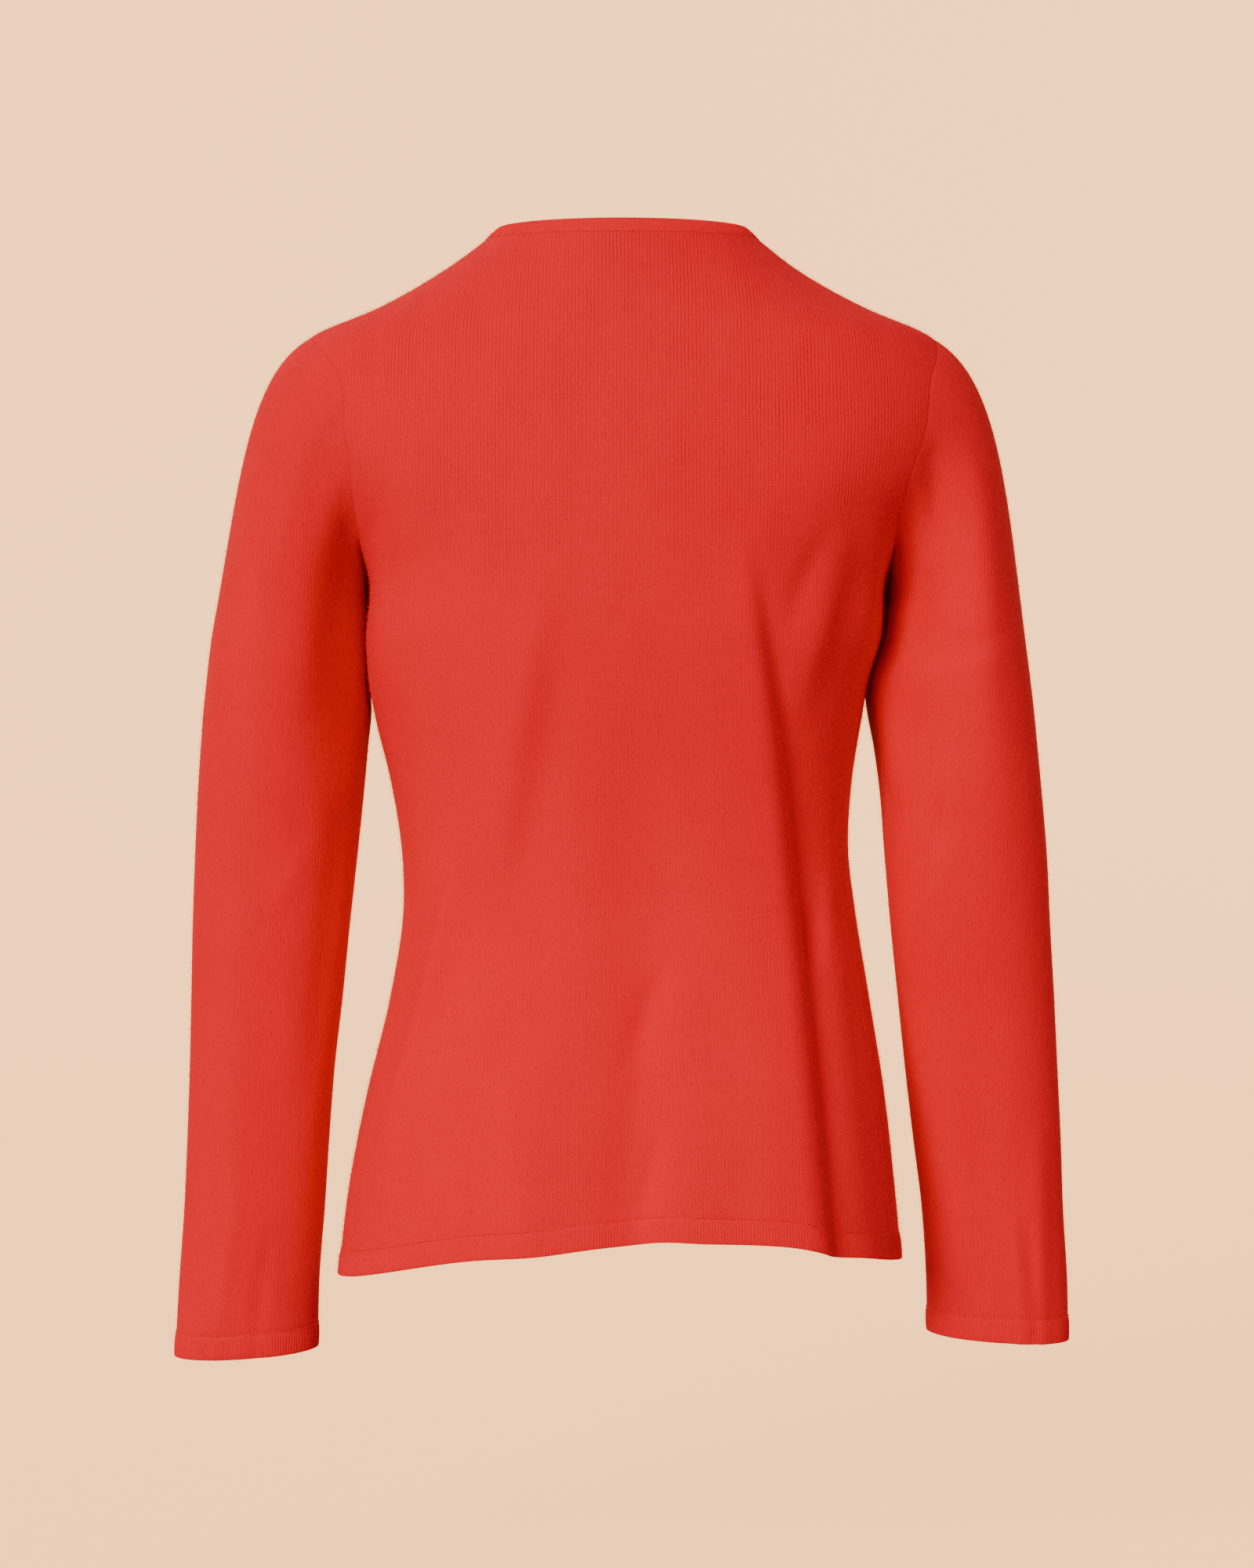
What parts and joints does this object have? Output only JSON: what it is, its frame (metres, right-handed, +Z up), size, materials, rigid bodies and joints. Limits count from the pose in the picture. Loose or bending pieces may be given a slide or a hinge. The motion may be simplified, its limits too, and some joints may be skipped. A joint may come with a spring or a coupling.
{
  "type": "zip-up sweater",
  "caption": "Fitted long-sleeved V-neck sweater in fine soft knit, filled out as worn and hollow, with a full-length front zip whose pull tab swings on its slider",
  "frame": {"origin": "the middle of the neck opening, level with the top of the neckband, where the wearer's neck and shoulders hold the garment", "axes": "+Z up, the wearer faces -Y, +X is the wearer's left"},
  "size_m": [0.524, 0.2361, 0.6537],
  "materials": {
    "knit": "fine brushed plain knit",
    "rib": "fine brushed ribbed band",
    "zip_tape": "woven tape",
    "zip_metal": "polished"
  },
  "bodies": {
    "garment": {"back_panel": "knit", "front_panel_left": "knit", "front_panel_right": "knit", "sleeve_left": "knit", "sleeve_right": "knit", "neckband": "rib", "hem_band_back": "rib", "hem_band_front_left": "rib", "hem_band_front_right": "rib", "cuff_band_left": "rib", "cuff_band_right": "rib", "zip_tape_left": "zip_tape", "zip_tape_right": "zip_tape", "zip_slider": "zip_metal", "zip_box": "zip_metal"},
    "pull_tab": {"zip_pull_tab": "zip_metal"}
  },
  "joints": [
    {"name": "pull_tab_swing", "type": "hinge", "parent": "garment", "child": "pull_tab", "pos_m": [0, -0.10951, -0.14706], "axis": [-1, 0, 0], "range_deg": [0, 170]}
  ]
}
